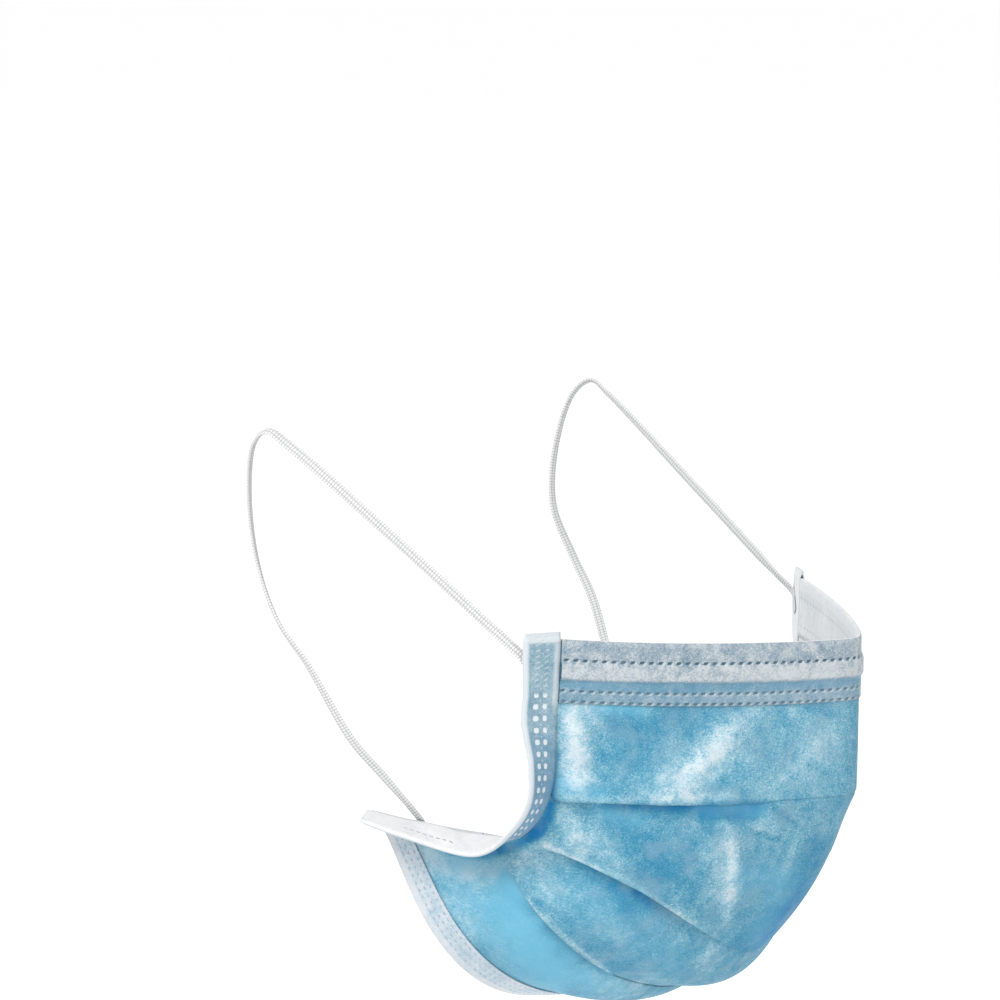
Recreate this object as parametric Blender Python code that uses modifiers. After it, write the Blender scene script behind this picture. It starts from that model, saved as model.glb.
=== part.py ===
"""Surgical face mask in the shape it keeps while it is worn.

Metres, +Z up. The front faces -Y and the wearer's right is -X. The origin is on the nose ridge,
at the middle of the top edge, where the mask sits.
"""

import math
from collections import namedtuple

import bpy
from mathutils import Vector
from mathutils.geometry import interpolate_bezier

# Size of the worn mask
HALF_WIDTH = 0.070      # centre plane to the free side edge on the cheek
FACE_DEPTH = 0.091      # nose ridge back to the lower rear corner
WORN_HEIGHT = 0.086     # top edge down to the underside of the chin

# Cloth, tape and elastic
CLOTH = 0.0010          # wall of the pleated panel
HEM_CLOTH = 0.0010      # wall of the white bands
TAPE_CLOTH = 0.0010     # wall of the side tapes
GAP = 0.0003            # clearance between neighbouring pieces
TAPE_WIDTH = 0.0080     # side tape, from the free edge to its inner edge
TAPE_SHORT = 0.0011     # the tape's leaves stop this far before the line where the sheet flares
TAPE_PROUD = 0.0018     # tape standing past the top and bottom edges
TOP_BAND = 0.0142       # height of the top band's front leaf
BOTTOM_BAND = 0.0082    # height of the bottom band's front leaf
WIRE_WIDTH = 0.0030
WIRE_THICK = 0.0006
WIRE_DROP = 0.0068      # centre line of the wire below the top edge
WIRE_SHORT = 0.0020     # the wire stops this far before each side tape
BAND_CLEAR = 0.0026     # the bottom band starts this far past the line where the sheet flares
ELASTIC = 0.0020        # thickness of the ear loops
ELASTIC_SEAT = 0.0060   # length of elastic welded on the tape's inner face

# Pleats
FOLD_RADIUS = 0.0009    # mid-wall radius of each fold
PLEAT_LEAD = 0.0015     # flat stretch above and below each fold that is meshed with it
PLEAT_RISE = 0.0100     # length over which a panel lifts to its folded lower edge
SIDE_FADE = 0.20        # share of the row over which a fold flattens before it meets the tape

STRIP = TAPE_WIDTH + TAPE_SHORT
ROW_LENGTH = math.hypot(HALF_WIDTH, 0.5 * FACE_DEPTH)

# Mesh density
ROW_STEPS = 16
FOLD_STEPS = 7
PANEL_STEPS = (5, 4, 4, 6)
ARC_STEPS = 3
FLAT_WEIGHT = 300.0     # how closely flat stretches of a fold are meshed, against its turns
DENSE = 90
CROWD_SIDE = 1.35       # crowds the columns towards the tape
CROWD_CENTRE = 1.5      # crowds the columns towards the centre ridge
LOOP_SPACING = 0.006

# One row for each line that runs across the mask, from the top edge to the bottom edge.
# side is on the tape's inner edge, middle is half way, centre is on the symmetry plane.
# back, out and down are shares of FACE_DEPTH, HALF_WIDTH and WORN_HEIGHT. ridge is the rounding
# of the centre crease as a share of the row. smooth is 1 where the sheet runs smoothly across
# the row and 0 where it turns a corner. dip is the hollow beside the tape as a share of DIP.
# lean is the direction of the tape's free edge from its inner edge: back, out and up.
Row = namedtuple("Row", "name side middle centre ridge smooth dip lean")
ROWS = [
    Row("top edge", (0.460, 0.894, -0.050), (0.220, 0.500, -0.019), (0.000, 0.000), 0.045,
        1.0, 0.00, (0.56, 0.83, 0.00)),
    Row("band edge", (0.460, 0.893, 0.108), (0.222, 0.500, 0.135), (0.002, 0.163), 0.045,
        1.0, 0.00, (0.56, 0.83, 0.00)),
    Row("pleat one", (0.460, 0.884, 0.360), (0.231, 0.514, 0.398), (0.011, 0.419), 0.050,
        0.1, 0.20, (0.52, 0.85, 0.10)),
    Row("pleat two", (0.568, 0.860, 0.472), (0.352, 0.565, 0.640), (0.275, 0.860), 0.140,
        0.8, 0.60, (0.13, 0.93, 0.33)),
    Row("pleat three", (0.728, 0.790, 0.485), (0.575, 0.657, 0.750), (0.495, 0.971), 0.180,
        0.8, 1.00, (-0.27, 0.88, -0.38)),
    Row("bottom band edge", (0.937, 0.772, 0.470), (0.788, 0.600, 0.835), (0.670, 0.988), 0.180,
        1.0, 1.00, (-0.27, 0.93, -0.23)),
    Row("bottom edge", (1.049, 0.745, 0.459), (0.862, 0.586, 0.858), (0.758, 0.994), 0.180,
        1.0, 1.00, (-0.29, 0.95, -0.13)),
]
CORNER_FADE = 0.30      # share of the row over which a corner rounds off towards the tape
DIP = 0.0022            # deepest hollow beside the tape, where the sheet flares out to it
DIP_AT = 0.090          # share of the row from the tape to the deepest point of the hollow

# One row for each pleat. tuck is how far the sheet runs back up behind the fold, as a share of
# PLEAT_DEPTH. closed and open are the places along the row, side 0 to centre 1, where the fold
# starts to open and where only its crease is left. crease is the angle left in degrees.
PLEAT_DEPTH = 0.0045
FOLD_ANGLE = 172.0      # turn of a closed fold, in degrees
Pleat = namedtuple("Pleat", "row tuck closed open crease")
PLEATS = [
    Pleat(2, 1.0, 0.50, 0.76, 14.0),
    Pleat(3, 1.0, 0.50, 0.95, 6.0),
    Pleat(4, 1.0, 0.45, 0.90, 6.0),
]

# Route of one ear loop over and behind the ear, from the upper end to the lower end, as shares
# of FACE_DEPTH, HALF_WIDTH and WORN_HEIGHT: back, out and up. The two ends are on the tape.
LOOP_ROUTE = [
    (0.830, 1.050, 0.275),
    (1.125, 1.115, 0.530),
    (1.180, 1.125, 0.565),
    (1.225, 1.110, 0.530),
    (1.260, 1.065, 0.390),
    (1.255, 1.025, 0.210),
    (1.195, 1.030, 0.060),
    (1.126, 1.000, -0.050),
    (1.034, 0.925, -0.250),
]
# Where each end of the elastic meets the tape: distance from the top edge as a share of the
# tape's length, inset from its free edge as a share of TAPE_WIDTH, and the heading of the welded
# stretch in degrees, 0 straight in and 90 down the tape.
LoopEnd = namedtuple("LoopEnd", "distance inset heading")
UPPER_END = LoopEnd(0.046, 0.06, 48.0)
LOWER_END = LoopEnd(0.840, 0.56, -88.0)

COLOURS = {
    "blue_nonwoven": ((0.20, 0.50, 0.68, 1.0), 0.70, 0.0),
    "white_nonwoven": ((0.72, 0.78, 0.82, 1.0), 0.75, 0.0),
    "nose_wire": ((0.70, 0.70, 0.72, 1.0), 0.40, 0.8),
    "side_tape": ((0.45, 0.62, 0.72, 1.0), 0.70, 0.0),
    "white_elastic": ((0.85, 0.85, 0.84, 1.0), 0.80, 0.0),
}


def clear_scene():
    for item in list(bpy.data.objects):
        bpy.data.objects.remove(item, do_unlink=True)


def material(name):
    colour, roughness, metallic = COLOURS[name]
    made = bpy.data.materials.new(name)
    made.use_nodes = True
    shader = made.node_tree.nodes["Principled BSDF"]
    shader.inputs["Base Color"].default_value = colour
    shader.inputs["Roughness"].default_value = roughness
    shader.inputs["Metallic"].default_value = metallic
    return made


def place(back, out, down):
    """A point on the wearer's right, from its distances in shares of the worn size."""
    return Vector((-out * HALF_WIDTH, back * FACE_DEPTH, -down * WORN_HEIGHT))


def side_lean(row):
    back, out, up = row.lean
    return Vector((-out, back, up)).normalized()


def bezier(start, middle, end, t):
    """The quadratic curve that passes through middle at half way."""
    control = 2.0 * middle - 0.5 * (start + end)
    return (1 - t) ** 2 * start + 2 * t * (1 - t) * control + t * t * end


def row_point(row, u):
    """A point of a row: u is 0 where the tape's strip begins and 1 on the centre plane. Below 0
    it runs on across the strip, and -1 is the free edge."""
    start = place(*row.side)
    if u < 0:
        return start - u * STRIP * side_lean(row)
    middle = place(*row.middle)
    end = place(row.centre[0], 0.0, row.centre[1])
    along = 1.0 - u
    span = math.hypot(1.0, row.ridge) - row.ridge
    rounded = 1.0 - (math.hypot(along, row.ridge) - row.ridge) / span
    point = bezier(start, middle, end, rounded)
    hollow = row.dip * DIP * (u / DIP_AT) * math.exp(1.0 - u / DIP_AT)
    point.x = bezier(start, middle, end, u).x + hollow
    return point


def base_point(u, v):
    """The smooth sheet through the rows: v is 0 on the top edge and counts the rows."""
    last = len(ROWS) - 1
    if v <= 0:
        first = row_point(ROWS[0], u)
        return first + v * (row_point(ROWS[1], u) - first)
    if v >= last:
        end = row_point(ROWS[last], u)
        return end + (v - last) * (end - row_point(ROWS[last - 1], u))
    i = min(int(v), last - 1)
    t = v - i
    near = [row_point(ROWS[min(max(k, 0), last)], u) for k in range(i - 1, i + 3)]
    if i == 0:
        near[0] = 2 * near[1] - near[2]
    if i == last - 1:
        near[3] = 2 * near[2] - near[1]
    slope_in, slope_out = span_slopes(near)
    chord = near[2] - near[1]
    from_side = smooth_step(u / CORNER_FADE)
    slope_in = slope_in.lerp(chord, from_side * (1.0 - ROWS[i].smooth))
    slope_out = slope_out.lerp(chord, from_side * (1.0 - ROWS[i + 1].smooth))
    return (
        (2 * t ** 3 - 3 * t ** 2 + 1) * near[1] + (t ** 3 - 2 * t ** 2 + t) * slope_in
        + (3 * t ** 2 - 2 * t ** 3) * near[2] + (t ** 3 - t ** 2) * slope_out
    )


def span_slopes(near):
    """The slopes at both ends of the middle span of four points."""
    gaps = [max(math.sqrt((near[k + 1] - near[k]).length), 1e-4) for k in range(3)]
    first = knot_slope(near[0], near[1], near[2], gaps[0], gaps[1])
    second = knot_slope(near[1], near[2], near[3], gaps[1], gaps[2])
    return first * gaps[1], second * gaps[1]


def knot_slope(before, here, after, gap_in, gap_out):
    """The tangent of a centripetal spline at its middle point."""
    first = (here - before) / gap_in
    second = (after - here) / gap_out
    return first - (after - before) / (gap_in + gap_out) + second


def smooth_step(x):
    x = min(max(x, 0.0), 1.0)
    return x * x * (3.0 - 2.0 * x)


def sheet_frame(u, v):
    """The point of the base sheet at u and v, and its outward normal there."""
    nudge = 0.004
    down = base_point(u, v + nudge) - base_point(u, v - nudge)
    if u >= 1.0:
        across = Vector((1.0, 0.0, 0.0))
    elif u < 0.0:
        across = base_point(u, v) - base_point(u - nudge, v)
    else:
        across = base_point(u + nudge, v) - base_point(u, v)
    return base_point(u, v), down.cross(across).normalized()


class Column:
    """The base sheet along one u, measured by length from the top edge."""

    def __init__(self, u):
        last = len(ROWS) - 1
        self.u = u
        self.frames = [sheet_frame(u, last * k / DENSE) for k in range(DENSE + 1)]
        self.lengths = [0.0]
        for a, b in zip(self.frames, self.frames[1:]):
            self.lengths.append(self.lengths[-1] + (b[0] - a[0]).length)
        self.total = self.lengths[-1]
        self.row_at = [self.lengths[round(DENSE * i / last)] for i in range(last + 1)]

    def locate(self, s):
        """The sample before length s, and the share of the way to the next one."""
        k = 1
        while k < DENSE and self.lengths[k] < s:
            k += 1
        return k - 1, (s - self.lengths[k - 1]) / (self.lengths[k] - self.lengths[k - 1])

    def value_at(self, s):
        """The row value v at length s."""
        k, t = self.locate(s)
        return (len(ROWS) - 1) * (k + t) / DENSE

    def at(self, s, lift=0.0):
        """The point at length s, lifted from the sheet along its outward normal."""
        k, t = self.locate(s)
        (point, normal), (next_point, next_normal) = self.frames[k:k + 2]
        normal = normal.lerp(next_normal, min(max(t, 0.0), 1.0)).normalized()
        return point.lerp(next_point, t) + lift * normal


def fold_shape(pleat, u):
    """The angle that a fold turns through, its tuck and the step that it makes in the sheet."""
    near_side = smooth_step(u / SIDE_FADE)
    opening = smooth_step((u - pleat.closed) / (pleat.open - pleat.closed))
    turn = FOLD_ANGLE + (pleat.crease - FOLD_ANGLE) * opening
    turn = math.radians(turn * near_side)
    tuck_left = 1.0 - smooth_step((u - 0.5 * pleat.closed) / (0.5 * pleat.closed))
    tuck = pleat.tuck * PLEAT_DEPTH * tuck_left * smooth_step((u - SIDE_FADE) / SIDE_FADE)
    radius = FOLD_RADIUS
    step = 2 * radius * (1 - math.cos(turn)) + tuck * math.sin(turn)
    drop = 2 * radius * math.sin(turn) + tuck * math.cos(turn)
    return turn, tuck, step, drop


def fold_path(pleat, u, start):
    """The fold as length, lift and heading: lead in, first turn, tuck, second turn, lead out."""
    turn, tuck, step, drop = fold_shape(pleat, u)
    radius = FOLD_RADIUS
    arcs = 2 * FOLD_STEPS
    path = [(start - PLEAT_LEAD, step, 0.0)]
    for k in range(arcs + 1):
        heading = turn * k / arcs
        s = start + radius * math.sin(heading)
        path.append((s, step - radius * (1 - math.cos(heading)), heading))
    s, lift, heading = path[-1]
    s += tuck * math.cos(turn)
    lift -= tuck * math.sin(turn)
    for k in range(arcs + 1):
        heading = turn * (1 - k / arcs)
        along = radius * (math.sin(turn) - math.sin(heading))
        inward = radius * (math.cos(heading) - math.cos(turn))
        path.append((s + along, lift - inward, heading))
    path.append((start + drop + PLEAT_LEAD, 0.0, 0.0))
    return path


def resample(path, steps):
    """The same path in fewer steps, which crowd where it turns."""
    marks = [0.0]
    for a, b in zip(path, path[1:]):
        flat = math.hypot(b[0] - a[0], b[1] - a[1]) * FLAT_WEIGHT
        marks.append(marks[-1] + flat + abs(b[2] - a[2]))
    result = []
    k = 1
    for i in range(steps + 1):
        want = marks[-1] * i / steps
        while k < len(path) - 1 and marks[k] < want:
            k += 1
        span = max(marks[k] - marks[k - 1], 1e-9)
        t = min(max((want - marks[k - 1]) / span, 0.0), 1.0)
        a, b = path[k - 1], path[k]
        result.append((a[0] + t * (b[0] - a[0]), a[1] + t * (b[1] - a[1])))
    return result


def panel_path(start, end, step, count):
    """A panel from one fold to the next, lifting to its lower edge over PLEAT_RISE."""
    path = []
    for k in range(count + 1):
        s = start + (end - start) * k / count
        rise = smooth_step((s - end + PLEAT_RISE) / PLEAT_RISE)
        path.append((s, step * rise))
    return path


def sheet_path(column, top, bottom):
    """The whole pleated section of one column as length and lift pairs."""
    path = []
    start = top
    steps_left = list(PANEL_STEPS)
    for pleat in PLEATS:
        edge_at = column.row_at[pleat.row] - FOLD_RADIUS - 0.5 * CLOTH
        fold = fold_path(pleat, max(column.u, 0.0), edge_at)
        panel = panel_path(start, fold[0][0], fold[0][1], steps_left.pop(0))
        path += panel[:-1]
        path += resample(fold, FOLD_STEPS)[:-1]
        start = fold[-1][0]
    path += panel_path(start, bottom, 0.0, steps_left.pop(0))
    return path


def grid_mesh(name, columns):
    """A mesh of quads from columns that hold the same number of points."""
    points = []
    faces = []
    rows = len(columns[0])
    for column in columns:
        points += column
    for i in range(len(columns) - 1):
        for k in range(rows - 1):
            a = i * rows + k
            faces.append((a, a + 1, a + rows + 1, a + rows))
    mesh = bpy.data.meshes.new(name)
    mesh.from_pydata(points, [], faces)
    mesh.update()
    return mesh


def add_object(name, data, collection, finish):
    item = bpy.data.objects.new(name, data)
    item.data.materials.append(finish)
    collection.objects.link(item)
    return item


def mirror(item):
    modifier = item.modifiers.new("Mirror", "MIRROR")
    modifier.use_axis = (True, False, False)
    modifier.merge_threshold = 0.00005
    return modifier


def solidify(item, thickness):
    modifier = item.modifiers.new("Solidify", "SOLIDIFY")
    modifier.thickness = thickness
    modifier.offset = 0.0
    modifier.use_even_offset = True
    return modifier


def flip_side(mesh):
    """The same shape on the wearer's left."""
    other = mesh.copy()
    for vertex in other.vertices:
        vertex.co.x = -vertex.co.x
    other.flip_normals()
    return other


def row_stations(start=0.0):
    """Places along a row from a start beside the tape to the centre plane."""
    shares = [(k / ROW_STEPS) ** CROWD_SIDE for k in range(ROW_STEPS + 1)]
    places = [1.0 - (1.0 - share) ** CROWD_CENTRE for share in shares]
    margin = 0.5 * places[1]
    return [start] + [u for u in places if u > start + margin]


def strip_values(inset):
    """The row values where the pleated panel's points meet the tape's strip."""
    column = Column(0.0)
    return [column.value_at(s) for s, lift in sheet_path(column, inset, column.total - inset)]


def build_body_panel(collection, finish):
    wrap = 0.5 * CLOTH + GAP + 0.5 * HEM_CLOTH
    edge = (0.5 * CLOTH + GAP + 0.5 * TAPE_CLOTH + GAP) / STRIP
    columns = []
    for u in row_stations():
        column = Column(u)
        path = sheet_path(column, wrap, column.total - wrap)
        columns.append([column.at(s, lift) for s, lift in path])
    columns.insert(0, [base_point(edge - 1.0, v) for v in strip_values(wrap)])
    item = add_object("body_panel", grid_mesh("body_panel", columns), collection, finish)
    mirror(item)
    solidify(item, CLOTH)
    return item


def hem_path(leaf, wrap, bump):
    """The section of a folded hem: front leaf, round the edge, back leaf. Lengths run from the
    hem's own edge into the mask. bump is a raised stretch over the wire, or None."""
    path = [(leaf, wrap)]
    if bump:
        middle, half, height, ramp = bump
        path.append((middle + half + ramp, wrap))
        path.append((middle + half, wrap + height))
        path.append((middle - half, wrap + height))
        path.append((middle - half - ramp, wrap))
    else:
        path.append((0.5 * (leaf + wrap), wrap))
    for k in range(ARC_STEPS + 1):
        angle = math.pi * k / ARC_STEPS
        path.append((wrap - wrap * math.sin(angle), wrap * math.cos(angle)))
    path.append((leaf, -wrap))
    return path


def build_band(name, collection, finish, at_top):
    wrap = 0.5 * CLOTH + GAP + 0.5 * HEM_CLOTH
    bump = None
    leaf = BOTTOM_BAND
    start = BAND_CLEAR / ROW_LENGTH
    if at_top:
        bump = (WIRE_DROP, 0.5 * WIRE_WIDTH + GAP, WIRE_THICK + GAP, HEM_CLOTH)
        leaf = TOP_BAND
        start = (GAP - TAPE_SHORT) / STRIP
    columns = []
    for u in row_stations(start):
        column = Column(u)
        points = []
        for s, lift in hem_path(leaf, wrap, bump):
            points.append(column.at(s if at_top else column.total - s, lift))
        if not at_top:
            points.reverse()
        columns.append(points)
    item = add_object(name, grid_mesh(name, columns), collection, finish)
    mirror(item)
    solidify(item, HEM_CLOTH)
    return item


def build_nose_wire(collection, finish):
    lift = 0.5 * CLOTH + GAP + 0.5 * WIRE_THICK
    columns = []
    for u in row_stations(WIRE_SHORT / ROW_LENGTH):
        column = Column(u)
        top = WIRE_DROP - 0.5 * WIRE_WIDTH
        columns.append([column.at(top + k * WIRE_WIDTH / 2, lift) for k in range(3)])
    item = add_object("nose_wire", grid_mesh("nose_wire", columns), collection, finish)
    mirror(item)
    solidify(item, WIRE_THICK)
    return item


def tape_section(v, wrap):
    """One section of the folded tape: outer leaf, round the free edge, inner leaf."""
    leaves = [sheet_frame(u, v) for u in (-TAPE_SHORT / STRIP, wrap / STRIP - 1.0)]
    section = [point + wrap * normal for point, normal in leaves]
    pivot, normal = leaves[-1]
    outward = (base_point(-1.0, v) - pivot).normalized()
    for k in range(1, ARC_STEPS):
        angle = math.pi * k / ARC_STEPS
        section.append(pivot + wrap * (math.sin(angle) * outward + math.cos(angle) * normal))
    return section + [point - wrap * normal for point, normal in reversed(leaves)]


def build_side_tapes(collection, finish):
    wrap = 0.5 * CLOTH + GAP + 0.5 * TAPE_CLOTH
    column = Column(0.0)
    values = [column.value_at(-TAPE_PROUD)] + strip_values(wrap)
    values.append(column.value_at(column.total + TAPE_PROUD))
    columns = [tape_section(v, wrap) for v in values]
    right = grid_mesh("side_tape_right", columns)
    items = []
    for name, mesh in (("side_tape_right", right), ("side_tape_left", flip_side(right))):
        item = add_object(name, mesh, collection, finish)
        solidify(item, TAPE_CLOTH)
        items.append(item)
    return items


def seat_points(end):
    """The welded stretch of elastic on the tape's inner face, from where it lands."""
    middle = Column(-0.5)
    lift = 0.5 * CLOTH + 2 * GAP + TAPE_CLOTH + 0.5 * ELASTIC
    heading = math.radians(end.heading)
    points = []
    for along in (0.0, 0.5 * ELASTIC_SEAT, ELASTIC_SEAT):
        distance = end.distance * middle.total + along * math.sin(heading)
        inset = end.inset * TAPE_WIDTH + along * math.cos(heading)
        point, normal = sheet_frame(inset / STRIP - 1.0, middle.value_at(distance))
        points.append(point - lift * normal)
    return points


def approach(landing, toward):
    """Points on the straight stretch of elastic next to its landing."""
    heading = (toward - landing).normalized()
    return [landing + share * ELASTIC_SEAT * heading for share in (1.0, 2.5)]


def loop_points():
    """The centre line of one ear loop, with both ends lying on the tape's inner face."""
    route = [place(back, out, -up) for back, out, up in LOOP_ROUTE]
    upper = seat_points(UPPER_END)
    lower = seat_points(LOWER_END)
    route = approach(upper[0], route[0]) + route
    route += approach(lower[0], route[-1])[::-1]
    return upper[::-1] + route + lower


def smooth_route(route, spacing):
    """Points along the centripetal spline through a route's points."""
    points = [route[0]]
    padded = [2 * route[0] - route[1]] + route + [2 * route[-1] - route[-2]]
    for i in range(1, len(padded) - 2):
        near = padded[i - 1:i + 3]
        first, second = (slope / 3 for slope in span_slopes(near))
        count = max(int((near[2] - near[1]).length / spacing), 1) + 1
        curve = interpolate_bezier(near[1], near[1] + first, near[2] - second, near[2], count + 1)
        points += curve[1:]
    return points


def build_ear_loops(collection, finish):
    points = smooth_route(loop_points(), LOOP_SPACING)
    items = []
    for name, side in (("ear_loop_right", 1.0), ("ear_loop_left", -1.0)):
        curve = bpy.data.curves.new(name, "CURVE")
        curve.dimensions = "3D"
        curve.bevel_depth = 0.5 * ELASTIC
        curve.bevel_resolution = 2
        curve.use_fill_caps = True
        spline = curve.splines.new("POLY")
        spline.points.add(len(points) - 1)
        for target, point in zip(spline.points, points):
            target.co = (side * point.x, point.y, point.z, 1.0)
        items.append(add_object(name, curve, collection, finish))
    return items


def main():
    clear_scene()
    collection = bpy.data.collections.new("surgical_face_mask")
    bpy.context.scene.collection.children.link(collection)
    finishes = {name: material(name) for name in COLOURS}
    build_body_panel(collection, finishes["blue_nonwoven"])
    build_band("top_band", collection, finishes["white_nonwoven"], True)
    build_band("bottom_band", collection, finishes["white_nonwoven"], False)
    build_nose_wire(collection, finishes["nose_wire"])
    build_side_tapes(collection, finishes["side_tape"])
    build_ear_loops(collection, finishes["white_elastic"])


main()
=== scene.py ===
"""Looks of the surgical face mask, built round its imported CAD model."""
import math
from collections import namedtuple

import bpy
import numpy as np
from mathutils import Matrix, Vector


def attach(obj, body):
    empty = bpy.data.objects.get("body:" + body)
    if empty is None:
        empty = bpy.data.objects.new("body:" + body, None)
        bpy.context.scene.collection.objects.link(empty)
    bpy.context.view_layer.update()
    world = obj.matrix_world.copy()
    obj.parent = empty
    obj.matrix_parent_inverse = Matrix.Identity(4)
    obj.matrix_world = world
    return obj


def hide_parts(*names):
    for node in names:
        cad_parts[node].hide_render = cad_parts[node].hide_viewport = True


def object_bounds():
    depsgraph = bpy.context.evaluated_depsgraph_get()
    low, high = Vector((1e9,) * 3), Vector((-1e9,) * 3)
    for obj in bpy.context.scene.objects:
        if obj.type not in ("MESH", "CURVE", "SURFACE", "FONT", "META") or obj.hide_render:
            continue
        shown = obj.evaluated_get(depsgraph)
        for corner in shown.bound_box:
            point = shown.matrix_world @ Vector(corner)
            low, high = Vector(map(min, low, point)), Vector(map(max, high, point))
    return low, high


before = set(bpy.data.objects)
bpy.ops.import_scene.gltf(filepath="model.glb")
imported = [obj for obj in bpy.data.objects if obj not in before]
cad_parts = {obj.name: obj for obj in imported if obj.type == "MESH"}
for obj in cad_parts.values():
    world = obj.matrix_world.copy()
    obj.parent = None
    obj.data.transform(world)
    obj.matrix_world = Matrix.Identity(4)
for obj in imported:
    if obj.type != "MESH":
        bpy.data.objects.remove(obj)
cad_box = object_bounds()

# Size of the worn mask, as in the CAD model
HALF_WIDTH = 0.070
FACE_DEPTH = 0.091
WORN_HEIGHT = 0.086
STRIP = 0.0091          # from the line where the sheet flares to its free edge
ROW_LENGTH = math.hypot(HALF_WIDTH, 0.5 * FACE_DEPTH)

# Real thicknesses of the cloth
PLIES = 0.00050         # blue outer ply, filter and white inner ply
BAND_PLY = 0.00030
TAPE_PLY = 0.00030
AIR = 0.00006           # clearance between pieces

TOP_BAND = 0.0139
BOTTOM_BAND = 0.0080
BAND_CLEAR = 0.0026     # from the tape's strip to the bottom band's end
BAND_GAP = 0.0004       # from the tape's inner edge to the top band's end
TAPE_PROUD = 0.0018     # beyond the panel's top and bottom edges
TAPE_SHORT = 0.0011     # from the line where the sheet flares to the tape's inner edge
# How far the tape's free edge stands out from a straight one, in mm, at lengths down it in mm
EDGE_WAVE = ((-2, 3, 9, 12, 17.5, 22, 26, 34, 45, 58, 70, 92),
             (0.9, 0.8, 0.3, 0.2, 0.9, 0.6, 0.0, 0.1, 0.0, 0.2, 0.0, 0.2))
WIRE_DROP = 0.0068      # from the top edge to the middle of the nose wire
WIRE_WIDTH = 0.0030
WIRE_THICK = 0.00055
ELASTIC_WIDTH = 0.0022
ELASTIC_THICK = 0.0009
STITCH = 0.00068        # pitch of the elastic's stitches
GROOVE = 0.42           # place of its two long grooves, as a share of half its width
UPPER_SEAT = 0.0060     # length of elastic welded to the tape at each end
LOWER_SEAT = 0.0100
SEAT_THICK = 0.00035    # the welded elastic is pressed flat

# Camera that matches the photograph
TARGET = Vector((0.0, 0.091, 0.0268))
AZIMUTH = -62.0
ELEVATION = 6.0
DISTANCE = 1.2
LENS = 184.9
# The same camera as a projection from millimetres to the photograph's pixels
PHOTO_TURN = (0.469, 0.883)     # cosine and sine of the azimuth
PHOTO_TILT = (0.9945, 0.1045)   # cosine and sine of the elevation
PHOTO_SCALE = 5136.0            # pixels for a thing as wide as it is far away
PHOTO_MIDDLE = 500.0
PHOTO_LEVEL = 26.8              # height that shows at the middle

# One row for each line across the mask, close to the CAD model's: back, out and down shares of
# FACE_DEPTH, HALF_WIDTH and WORN_HEIGHT at the tape's strip, half way and at the centre. ridge is
# how round the centre is, smooth is 0 where the cloth bends sharply at the row and 1 where it
# doesn't, dip is its share of the hollow beside the tape, and lean is the strip's direction.
Row = namedtuple("Row", "name side middle centre ridge smooth dip lean")
ROWS = [
    Row("top edge", (0.460, 0.894, -0.050), (0.220, 0.500, -0.019), (0.000, 0.000), 0.045,
        1.0, 0.00, (0.56, 0.83, 0.00)),
    Row("band edge", (0.467, 0.898, 0.108), (0.222, 0.500, 0.135), (0.002, 0.163), 0.045,
        1.0, 0.00, (0.56, 0.83, 0.00)),
    Row("pleat one", (0.498, 0.894, 0.360), (0.231, 0.514, 0.398), (0.011, 0.419), 0.050,
        0.1, 0.20, (0.06, 0.98, 0.12)),
    Row("pleat two", (0.590, 0.860, 0.470), (0.352, 0.565, 0.630), (0.275, 0.862), 0.140,
        0.8, 0.60, (-0.20, 0.94, 0.25)),
    Row("pleat three", (0.728, 0.790, 0.485), (0.575, 0.657, 0.750), (0.495, 0.971), 0.180,
        0.8, 1.00, (-0.27, 0.88, -0.38)),
    Row("bottom band edge", (0.937, 0.772, 0.470), (0.788, 0.600, 0.835), (0.668, 0.986), 0.180,
        1.0, 1.00, (-0.27, 0.93, -0.23)),
    Row("bottom edge", (1.049, 0.745, 0.459), (0.862, 0.586, 0.860), (0.754, 0.985), 0.180,
        1.0, 1.00, (-0.29, 0.95, -0.13)),
]
LAST = len(ROWS) - 1
CORNER_FADE = 0.30      # nearer to the side than this, the cloth bends smoothly at every row
DIP = 0.0022
DIP_AT = 0.090

# One row for each pleat, as in the CAD model, with the finer folds of the real cloth. It is
# folded flat up to closed, opens to an angle of crease at open, and swell is how far the cloth
# above it stands out.
FOLD_RADIUS = 0.00040
PLEAT_DEPTH = 0.0060
FOLD_ANGLE = 176.0
SIDE_FADE = 0.020
PLEAT_RISE = 0.0110
Pleat = namedtuple("Pleat", "row shift closed open crease swell")
PLEATS = [
    Pleat(2, 0.0, 0.50, 0.76, 14.0, 0.0),
    Pleat(3, 0.0, 0.50, 0.95, 6.0, 0.0012),
    Pleat(4, -0.0022, 0.45, 0.90, 6.0, 0.0024),
]
LAST_SWELL = 0.0022     # below the last pleat

# Base colours are darkened to this share, because the studio light is bright enough for a
# white backdrop.
LIGHT_SHARE = 0.52
LIT_PLACE = (0.0, 0.04, -0.03)  # where the lamps point
FLOOR_SIZE = 40.0       # half its width
FLOOR_DROP = 0.16       # below the mask

# Mesh density
HALF_COLUMNS = 98
STRIP_COLUMNS = 5
PANEL_STEPS = (52, 34, 26, 36)
FOLD_STEPS = 20
DOWN_SAMPLES = 40       # samples between two rows of the table
HEM_FRONT = 46          # samples across a hem's front leaf
HEM_BACK = 12
TAPE_COLUMNS = 12
TAPE_ROWS = 240
EDGE_STEPS = 7          # samples round the edge of a hem or tape
WIRE_COLUMNS = 90
WIRE_LINES = 5
LOOP_SPAN = 60          # samples between two points of an ear loop's route
LOOP_RING = 0.00013     # from one ring of its surface to the next
LOOP_SIDES = 25
PATH_RINGS = 20         # rings from one point of the centre line that build_loop returns to the next
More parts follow.
